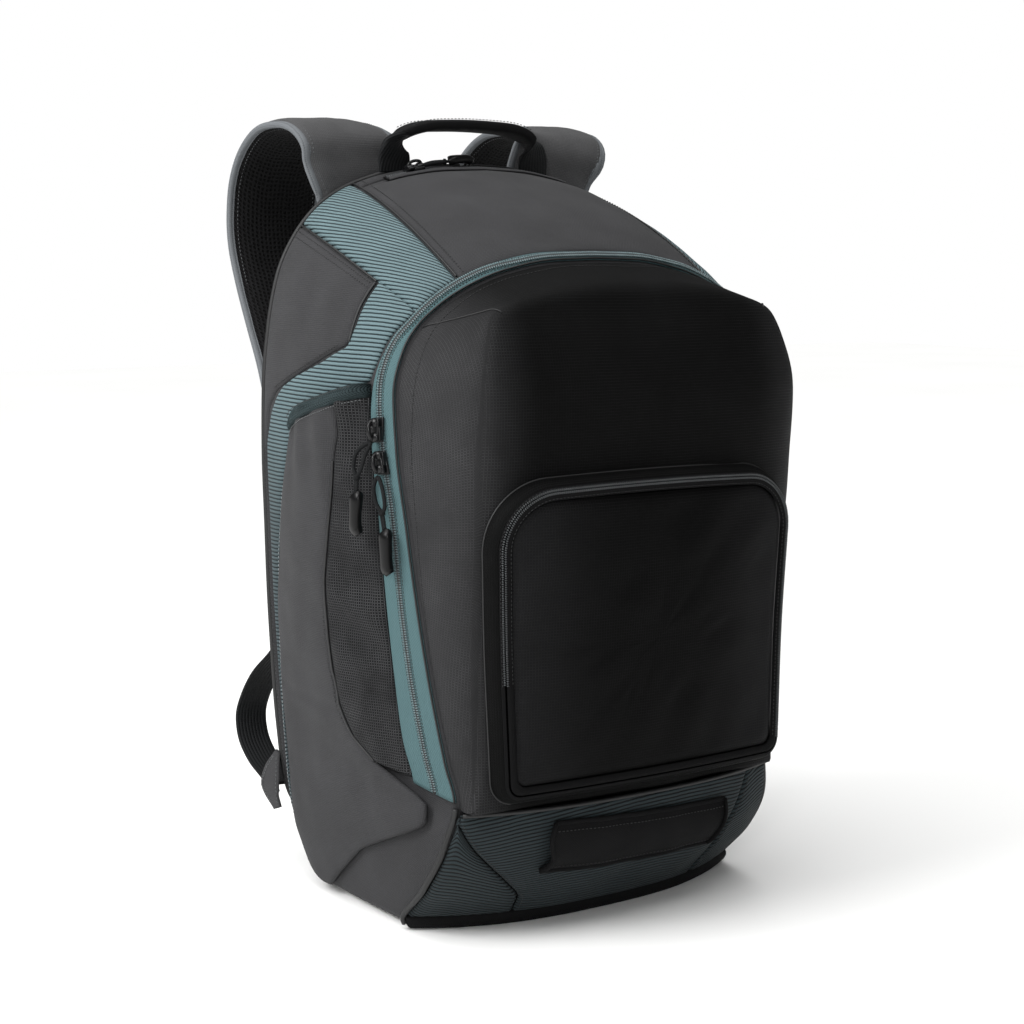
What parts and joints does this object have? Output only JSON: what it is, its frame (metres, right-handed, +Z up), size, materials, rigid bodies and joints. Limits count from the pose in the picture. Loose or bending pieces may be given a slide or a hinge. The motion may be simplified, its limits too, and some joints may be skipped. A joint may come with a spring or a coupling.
{
  "type": "baseball bat backpack",
  "caption": "Upright sports backpack with a moulded zip door, a front pocket, an open bat sleeve on each side, padded straps and a haul loop.",
  "frame": {"origin": "centre of the flat base the bag stands on", "axes": "+Z up; the door and front pocket face -Y, the straps are at +Y; -X is the side with the zip sliders"},
  "size_m": [0.3628, 0.3796, 0.5498],
  "materials": {
    "charcoal_cloth": "matte woven polyester",
    "padded_strap_cloth": "matte woven polyester over foam, air mesh inside, bound edge",
    "air_mesh": "matte spacer mesh over foam",
    "black_ripstop": "ripstop weave with a fine grid",
    "corded_cloth": "fine ribs with dark lines between",
    "zip_tape": "woven tape",
    "zip_coil": "small coils of nylon",
    "binding": "ribbed elastic binding",
    "black_webbing": "flat woven webbing",
    "buckle_plastic": "fine grain",
    "slider_metal": "dark lacquer",
    "pull_rubber": "moulded grip on a cord"
  },
  "bodies": {
    "root": {"main_shell": "charcoal_cloth", "back_pad": "air_mesh", "front_door": "black_ripstop", "front_pocket": "black_ripstop", "pocket_zip_coil": "zip_coil", "base_front_panel": "corded_cloth", "grab_flap": "black_webbing", "main_zip_tape": "zip_tape", "main_zip_coil": "zip_coil", "top_zip": "zip_tape", "yoke_side_left": "corded_cloth", "yoke_band_left": "corded_cloth", "sleeve_panel_left": "charcoal_cloth", "sleeve_gusset_left": "black_ripstop", "sleeve_binding_left": "binding", "shoulder_strap_left": "padded_strap_cloth", "lower_webbing_left": "black_webbing", "strap_buckle_left": "buckle_plastic", "wing_tab_left": "charcoal_cloth", "yoke_side_right": "corded_cloth", "yoke_band_right": "corded_cloth", "sleeve_panel_right": "charcoal_cloth", "sleeve_gusset_right": "black_ripstop", "sleeve_binding_right": "binding", "shoulder_strap_right": "padded_strap_cloth", "lower_webbing_right": "black_webbing", "strap_buckle_right": "buckle_plastic", "wing_tab_right": "charcoal_cloth", "haul_loop": "black_webbing", "main_zip_slider_upper": "slider_metal", "main_zip_slider_lower": "slider_metal", "top_zip_slider": "slider_metal", "main_zip_pull_upper": "pull_rubber", "main_zip_pull_lower": "pull_rubber", "top_zip_pull": "pull_rubber"}
  },
  "joints": []
}
